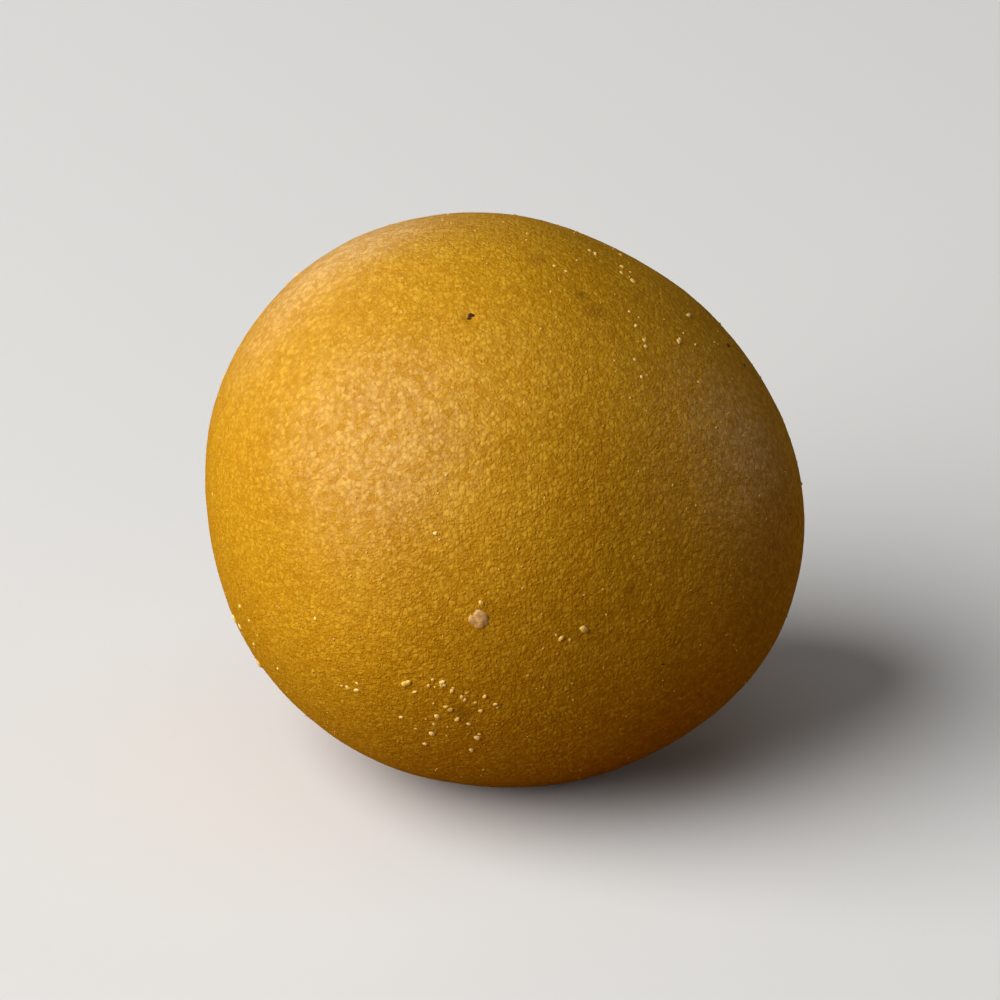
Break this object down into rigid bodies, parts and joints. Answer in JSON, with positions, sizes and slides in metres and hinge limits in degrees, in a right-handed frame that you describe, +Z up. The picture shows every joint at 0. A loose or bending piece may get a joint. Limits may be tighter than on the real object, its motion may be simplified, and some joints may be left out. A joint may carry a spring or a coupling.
{
  "type": "bandar ladoo",
  "caption": "Hand-rolled bandar ladoo: a mustard-yellow ball of kneaded gram flour with a fine grain and pale crumbs, slightly oval, standing on a small flat spot.",
  "frame": {"origin": "the point of the table straight under the middle of the ball, in the middle of the flat spot", "axes": "+Z up from the table, -Y towards the side that the picture shows, +X to the right as seen from there"},
  "size_m": [0.0449, 0.0441, 0.0422],
  "materials": {
    "dough": "satin",
    "crumb": "satin",
    "sugar": "satin",
    "cardamom": "satin"
  },
  "bodies": {
    "root": {"ladoo": "dough"}
  },
  "joints": []
}
